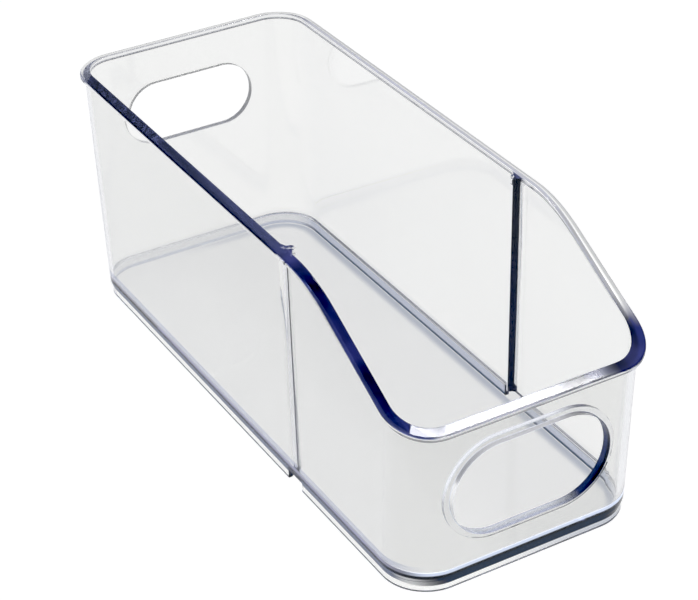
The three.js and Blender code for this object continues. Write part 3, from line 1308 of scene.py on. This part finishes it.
        x = across(sign_x, along_x, size["Width"], size["Side Draft"], "COSINE")
        y = across(sign_y, along_y, size["Length"], size["End Draft"], "SINE")
        return bench.welded(bench.step("GeometryNodeSetPosition", {
            "Geometry": grid, "Position": bench.point(x, y, z)}))

    def openings(self, bench: Bench, size: dict[str, Term]) -> tuple[Term, list[Term]]:
        """Shapes the front slot's collar and what is cut out of the shell.

        Args:
            bench: where the shell's nodes go.
            size: what the tree's inputs give.

        Returns:
            The collar, and the solids to cut out.
        """
        bar = self.slot_group()
        half_length = size["Length"] / 2
        overrun = size["Overrun"]

        def face_at(middle: Term) -> Term:
            """Finds how far out the end walls' inner faces are.

            Args:
                middle: the height to look at.

            Returns:
                Their distance from the bin's middle.
            """
            risen = ((middle - size["Foot Height"])
                     / (size["Rear Height"] - size["Foot Height"]))
            return (half_length - size["Overhang"] - size["Wall"]
                    - (1 - risen) * size["End Draft"])

        def round_bar(*values: Term) -> Term:
            """Places one bar, given its length, height, middle and both ends."""
            return bench.group(bar, dict(zip(("Length", "Height", "Middle", "From", "To"),
                                             values)))["Geometry"]

        length, height = size["Back Slot Length"], size["Back Slot Height"]
        middle = size["Rear Height"] - size["Back Slot Drop"] - height / 2
        far = half_length + overrun
        back_cut = round_bar(length, height, middle, face_at(middle) - overrun, far)

        length, height = size["Front Slot Length"], size["Front Slot Height"]
        middle = size["Front Height"] - size["Front Slot Drop"] - height / 2
        face = face_at(middle) * -1
        collar_end = face + size["Collar Reach"]
        front_cut = round_bar(length, height, middle, far * -1, collar_end + overrun)
        wider = size["Collar Width"] * 2
        collar = round_bar(length + wider, height + wider, middle, face - size["Wall"] / 2,
                           collar_end)

        notch = bench.step("GeometryNodeMeshCube", {"Size": bench.point(
            size["Width"] * 2, size["Notch Length"], size["Foot Height"] * 2)})
        notch = bench.step("GeometryNodeTransform", {
            "Geometry": notch, "Translation": bench.point(0.0, size["Notch Middle"], 0.0)})
        return collar, [back_cut, front_cut, notch]

    def shell_tree(self) -> bpy.types.NodeTree:
        """Makes the tree that sweeps the shell, adds collar and rails, and cuts the openings.

        Returns:
            The tree.
        """
        tree, bench, size = new_group(
            Tree.GEOMETRY, "moulding",
            {"Geometry": Socket.GEOMETRY, **numbers(*self.lengths()),
             "Stations": Socket.WHOLE, "Rails": Socket.OBJECT, "Plastic": Socket.MATERIAL},
            {"Geometry": Socket.GEOMETRY})
        shell = self.swept(bench, size)
        collar, cuts = self.openings(bench, size)
        rails = bench.step("GeometryNodeObjectInfo", {
            "Object": size["Rails"], "As Instance": False}, take="Geometry",
            transform_space="ORIGINAL")
        whole = bench.step("GeometryNodeMeshBoolean", {"Mesh 2": [shell, collar, rails]},
                           operation="UNION", solver="EXACT")
        whole = bench.step("GeometryNodeMeshBoolean", {"Mesh 1": whole, "Mesh 2": cuts},
                           operation="DIFFERENCE", solver="EXACT")
        bench.conclude(whole, size["Plastic"])
        return tree

    def rail_outline(self, width: float, reach: float) -> list[tuple[float, float]]:
        """Draws a rail's plan, with the wall's inner face at x = 0.

        Args:
            width: the rib's width.
            reach: how far it stands out from the wall.

        Returns:
            The plan's corners, in millimetres.
        """
        half = width / 2
        root = half + self.rail_flare
        side = []
        for index in range(self.flare_chords + 1):
            t = index / self.flare_chords
            near, bend, far = (1 - t) ** 2, 2 * t * (1 - t), t ** 2
            side.append((bend * (half - reach) / 2 + far * (half - reach),
                         near * root + bend * half + far * half))
        tip = [(half - reach - half * math.sin(a), half * math.cos(a))
               for a in (math.pi * i / self.tip_chords for i in range(1, self.tip_chords))]
        deep = self.wall / 2
        return ([(deep, -root), (deep, root)] + side + tip
                + [(x, -y) for x, y in reversed(side)])

    def rail_tree(self) -> bpy.types.NodeTree:
        """Makes the tree that draws both rails up the walls from their plans.

        Returns:
            The tree.
        """
        tree, bench, size = new_group(
            Tree.GEOMETRY, "divider_rails",
            {"Geometry": Socket.GEOMETRY,
             **numbers("Wall Lean", "Foot Height", "Rear Height", "Rail Position"),
             "Plastic": Socket.MATERIAL}, {"Geometry": Socket.GEOMETRY})
        rise = bench.step("GeometryNodeInputNamedAttribute", {"Name": "rise"},
                          data_type="FLOAT")
        rail = bench.solid(size["Geometry"], {
            "Individual": True, "Offset": bench.point(0.0, 0.0, 1.0), "Offset Scale": rise})
        height = bench.parts(bench.step("GeometryNodeInputPosition"))[2]
        lean = size["Wall Lean"] * ((height - size["Rear Height"])
                                    / (size["Rear Height"] - size["Foot Height"]))
        leaning = bench.step("GeometryNodeSetPosition", {
            "Geometry": rail, "Offset": bench.point(lean, 0.0, 0.0)})
        pair = bench.step("GeometryNodeMeshLine", {
            "Count": 2, "Start Location": bench.point(0.0, size["Rail Position"], 0.0),
            "Offset": (0.0, 0.0, 0.0)}, mode="OFFSET")
        turn = bench.step("GeometryNodeInputIndex") * math.pi
        placed = bench.step("GeometryNodeInstanceOnPoints", {
            "Points": pair, "Instance": leaning, "Rotation": bench.point(0.0, 0.0, turn)})
        bench.conclude(placed, size["Plastic"])
        return tree

    def build_rails(self, plastic: bpy.types.Material) -> bpy.types.Object:
        """Builds both divider rails.

        Args:
            plastic: the clear material.

        Returns:
            An object that holds the two rails, to be joined with the walls.
        """
        inner = self.width / 2 - self.overhang - self.wall
        top = self.rear_height
        stretches = (
            (self.rail_outline(self.rail_width, self.rail_reach), self.foot + self.floor / 2,
             top - self.rail_head_depth / 2),
            (self.rail_outline(self.rail_head_width, self.rail_head_reach),
             top - self.rail_head_depth, top - self.edge_round / 4),
        )
        mesh = bpy.data.meshes.new("rail_plans")
        corners, faces, rises = [], [], []
        for outline, bottom, upper in stretches:
            start = len(corners)
            corners += [((inner + x) * MM, y * MM, bottom * MM) for x, y in outline]
            faces.append(tuple(range(len(corners) - 1, start - 1, -1)))
            rises.append((upper - bottom) * MM)
        mesh.from_pydata(corners, [], faces)
        mesh.attributes.new("rise", "FLOAT", "FACE").data.foreach_set("value", rises)
        mesh.update()
        if mesh.polygons[0].normal.z < 0:
            mesh.flip_normals()
        rails = new_piece("rails", mesh)
        settled(rails, self.rail_tree(), {
            "Wall Lean": self.side_draft * MM, "Foot Height": self.foot * MM,
            "Rear Height": self.rear_height * MM,
            "Rail Position": (self.rail_from_front - self.length / 2) * MM,
            "Plastic": plastic,
        })
        return rails

    def build(self, plastic: bpy.types.Material) -> bpy.types.Object:
        """Builds the moulding.

        Args:
            plastic: the clear material.

        Returns:
            The finished piece.
        """
        rails = self.build_rails(plastic)
        piece = new_piece("clear_bin", self.section_mesh())
        values = {label: length * MM for label, length in self.lengths().items()}
        values.update({"Stations": self.stations, "Rails": rails, "Plastic": plastic})
        settled(piece, self.shell_tree(), values)
        bpy.data.objects.remove(rails)
        self.smooth(piece)
        return piece

    def smooth(self, piece: bpy.types.Object) -> None:
        """Turns the faces outwards, smooths them and keeps the real corners sharp.

        Args:
            piece: the moulding.
        """
        work = bmesh.new()
        work.from_mesh(piece.data)
        bmesh.ops.remove_doubles(work, verts=work.verts, dist=WELD)
        bmesh.ops.recalc_face_normals(work, faces=work.faces)
        work.to_mesh(piece.data)
        open_edges = sum(1 for edge in work.edges if not edge.is_manifold)
        work.free()
        faces = len(piece.data.polygons)
        LOG.info("%s: %d faces, %d open edges", piece.name, faces, open_edges)
        piece.data.polygons.foreach_set("use_smooth", [True] * faces)
        piece.data.set_sharp_from_angle(angle=math.radians(self.sharp_from))
        flat = piece.modifiers.new("flat_faces", "WEIGHTED_NORMAL")
        flat.mode = "FACE_AREA"
        flat.keep_sharp = True
        finished(piece)

    def dress(self, piece: bpy.types.Object) -> None:
        """Places the piece on its body and lets it stand for the whole CAD model.

        Args:
            piece: the moulding.
        """
        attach(piece, "root")
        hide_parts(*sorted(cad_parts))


@dataclass(frozen=True)
class SoftBox:
    """One soft lamp of the studio.

    Attributes:
        name: the lamp's name.
        azimuth: where it stands, in degrees from +Y towards +X, seen from the aim.
        elevation: how high it stands, in degrees.
        distance: how far it is from the aim, in metres.
        size: its width and height, in metres.
        radiance: how bright its face is.
        aim: the point it faces.
        glints_only: whether it is only seen in what shines, and leaves the floor alone.
    """

    name: str
    azimuth: float
    elevation: float
    distance: float
    size: Span
    radiance: float
    aim: tuple[float, float, float] = (0.0, -0.158, 0.084)
    glints_only: bool = False

    def build(self) -> None:
        """Places the lamp."""
        lamp = bpy.data.lights.new(self.name, "AREA")
        lamp.shape = "RECTANGLE"
        lamp.size, lamp.size_y = self.size
        lamp.energy = self.radiance * math.pi * self.size[0] * self.size[1]
        away = direction(self.azimuth, self.elevation)
        holder = bpy.data.objects.new(self.name, lamp)
        holder.matrix_world = (Matrix.Translation(Vector(self.aim) + away * self.distance)
                               @ away.to_track_quat("Z", "Y").to_matrix().to_4x4())
        holder.visible_diffuse = not self.glints_only
        holder.visible_transmission = not self.glints_only
        holder.visible_camera = False
        bpy.context.scene.collection.objects.link(holder)


@dataclass(frozen=True)
class PaleFloor:
    """The plain pale floor, a little darker where the foot keeps the light out.

    Attributes:
        base: the plan of the base.
        half: half its size, in metres.
        drop: how far it lies below the foot, in metres.
        grey: how much light it throws back.
        glow: how bright it is by itself.
        rough: its roughness.
        shade: the colour of its darker part, as a share of its glow.
        shade_from: where across the bin that starts and is full, in millimetres.
        shade_band: how far inside the base it starts, is full, starts to fade and is gone.
    """

    base: BasePlan
    half: float = 6.0
    drop: float = 0.00025
    grey: float = 0.6
    glow: float = 0.92
    rough: float = 0.9
    shade: Colour = (0.55, 0.58, 0.66)
    shade_from: Span = (-25.0, 40.0)
    shade_band: Window = (2.8, 3.3, 4.5, 9.0)

    def build(self, inset_group: bpy.types.NodeTree) -> None:
        """Lays the floor.

        Args:
            inset_group: the group that tells how far inside the plan a point lies.
        """
        mesh = bpy.data.meshes.new("floor")
        mesh.from_pydata([(x * self.half, y * self.half, -self.drop)
                          for x, y in ((-1, -1), (1, -1), (1, 1), (-1, 1))], [], [(0, 1, 2, 3)])
        floor = new_piece("floor", mesh)
        material = bpy.data.materials.new("pale_floor")
        material.use_nodes = True
        bench = Bench(material.node_tree)
        point = bench.step("ShaderNodeTexCoord", take="Object")
        inset = self.base.place(bench, inset_group, point)
        band = (bench.rise(inset, self.shade_band[:2])
                * bench.fall(inset, self.shade_band[2:], Ease.SMOOTH)
                * bench.rise(bench.parts(point)[0], self.shade_from, Ease.SMOOTH))
        paint = material.node_tree.nodes["Principled BSDF"]
        for label, value in (("Base Color", (self.grey, self.grey, self.grey, 1.0)),
                             ("Emission Color", bench.blend(band, (1.0, 1.0, 1.0), self.shade)),
                             ("Emission Strength", self.glow), ("Roughness", self.rough)):
            bench.feed(paint.inputs[label], value)
        mesh.materials.append(material)


@dataclass(frozen=True)
class Viewpoint:
    """Where the photograph was taken from.

    Attributes:
        focal: the focal length, in the photograph's pixels.
        image_width: the photograph's width, in pixels.
        sensor: the width of the camera's sensor, in millimetres.
        azimuth: where the camera stands, in degrees from -Y towards +X.
        elevation: how high it stands, in degrees.
        roll: how far it is turned about its own axis, in degrees.
        eye: where it stands, in metres.
        clip: the nearest and the farthest distance that it sees, in metres.
    """

    focal: float = 2118.57
    image_width: int = 698
    sensor: float = 36.0
    azimuth: float = -29.4414
    elevation: float = 32.1653
    roll: float = -1.6737
    eye: tuple[float, float, float] = (-0.40722, -0.72606, 0.57086)
    clip: Span = (0.01, 50.0)

    def build(self) -> None:
        """Sets the camera up."""
        data = bpy.data.cameras.new("camera")
        data.sensor_width = self.sensor
        data.lens = self.focal * self.sensor / self.image_width
        data.clip_start, data.clip_end = self.clip
        azimuth, elevation = math.radians(self.azimuth), math.radians(self.elevation)
        back = Vector((math.sin(azimuth) * math.cos(elevation),
                       -math.cos(azimuth) * math.cos(elevation), math.sin(elevation)))
        right = Vector((0, 0, 1)).cross(back).normalized()
        up = back.cross(right)
        roll = math.radians(self.roll)
        turned = right * math.cos(roll) + up * math.sin(roll)
        upright = up * math.cos(roll) - right * math.sin(roll)
        pose = Matrix((turned, upright, back)).transposed().to_4x4()
        pose.translation = Vector(self.eye)
        camera = bpy.data.objects.new("camera", data)
        camera.matrix_world = pose
        bpy.context.scene.collection.objects.link(camera)
        bpy.context.scene.camera = camera


@dataclass(frozen=True)
class Studio:
    """The light round the bin, with its floor and its camera.

    Attributes:
        floor: the floor.
        camera: the camera.
        boxes: the lamps.
        room: the colour of the dark room.
        sweep: the colour of its paler part.
        sweep_at: where the middle of that part is, in degrees from +Y towards +X and up.
        sweep_spread: how far from there it starts to fade and is gone, in degrees.
        backdrop: the colour that the camera sees past the floor.
        black: the colour that the picture shows as black.
        bounces: how often light may enter, leave or be mirrored by the plastic.
        diffuse_bounces: how often it may be thrown back by the floor.
        clear_bounces: how often it may pass something fully transparent.
    """

    floor: PaleFloor
    camera: Viewpoint = Viewpoint()
    boxes: tuple[SoftBox, ...] = (
        SoftBox("key_light", -150.0, 55.0, 2.0, (1.2, 1.2), 1.0),
        SoftBox("top_light", 47.2, 52.4, 1.1, (0.25, 0.24), 17.0, glints_only=True),
    )
    room: Colour = (0.062, 0.066, 0.078)
    sweep: Colour = (0.36, 0.36, 0.37)
    sweep_at: Span = (29.4, 15.0)
    sweep_spread: Span = (28.0, 60.0)
    backdrop: Colour = (0.9, 0.9, 0.9)
    black: Colour = (0.028, 0.024, 0.019)
    bounces: int = 64
    diffuse_bounces: int = 4
    clear_bounces: int = 24

    def build_room(self) -> None:
        """Surrounds the bin with a dark room that has one paler part."""
        world = bpy.data.worlds.new("studio")
        world.use_nodes = True
        world.node_tree.nodes.clear()
        bpy.context.scene.world = world
        bench = Bench(world.node_tree)
        way = bench.step("ShaderNodeTexCoord", take="Generated")
        toward = bench.step("ShaderNodeVectorMath", {0: way, 1: direction(*self.sweep_at)},
                            take="Value", operation="DOT_PRODUCT")
        near, far = (math.cos(math.radians(value)) for value in self.sweep_spread)
        share = bench.spread(toward, far, near, ease=Ease.SMOOTH)
        room = bench.blend(share, self.room, self.sweep)
        seen = bench.step("ShaderNodeLightPath", take="Is Camera Ray")
        shade = bench.step("ShaderNodeBackground",
                           {"Color": bench.blend(seen, room, self.backdrop)})
        bench.node("ShaderNodeOutputWorld", {0: shade})

    def build(self, inset_group: bpy.types.NodeTree) -> None:
        """Builds the floor, the light and the camera.

        Args:
            inset_group: the group that tells how far inside the plan a point lies.
        """
        self.floor.build(inset_group)
        self.build_room()
        for box in self.boxes:
            box.build()
        self.camera.build()
        scene = bpy.context.scene
        scene.view_settings.view_transform = "Standard"
        scene.view_settings.use_curve_mapping = True
        scene.view_settings.curve_mapping.black_level = self.black
        scene.cycles.max_bounces = self.bounces
        scene.cycles.transmission_bounces = self.bounces
        scene.cycles.glossy_bounces = self.bounces
        scene.cycles.diffuse_bounces = self.diffuse_bounces
        scene.cycles.transparent_max_bounces = self.clear_bounces


def main() -> None:
    """Builds the bin and its studio."""
    logging.basicConfig(level=logging.INFO, format="%(name)s: %(message)s")
    moulding = Moulding()
    plan = moulding.base_plan()
    inset_group = plan_inset()
    slots = SlotShadeAndLight(moulding.slot_lining(End.BACK), moulding.slot_lining(End.FRONT))
    plastic = ClearFinish(plan, slots).build("clear_plastic", MouldingMarks(), inset_group)
    piece = moulding.build(plastic)
    moulding.dress(piece)
    LOG.info("%s rides on root", piece.name)
    Studio(PaleFloor(plan)).build(inset_group)


if __name__ == "__main__":
    main()
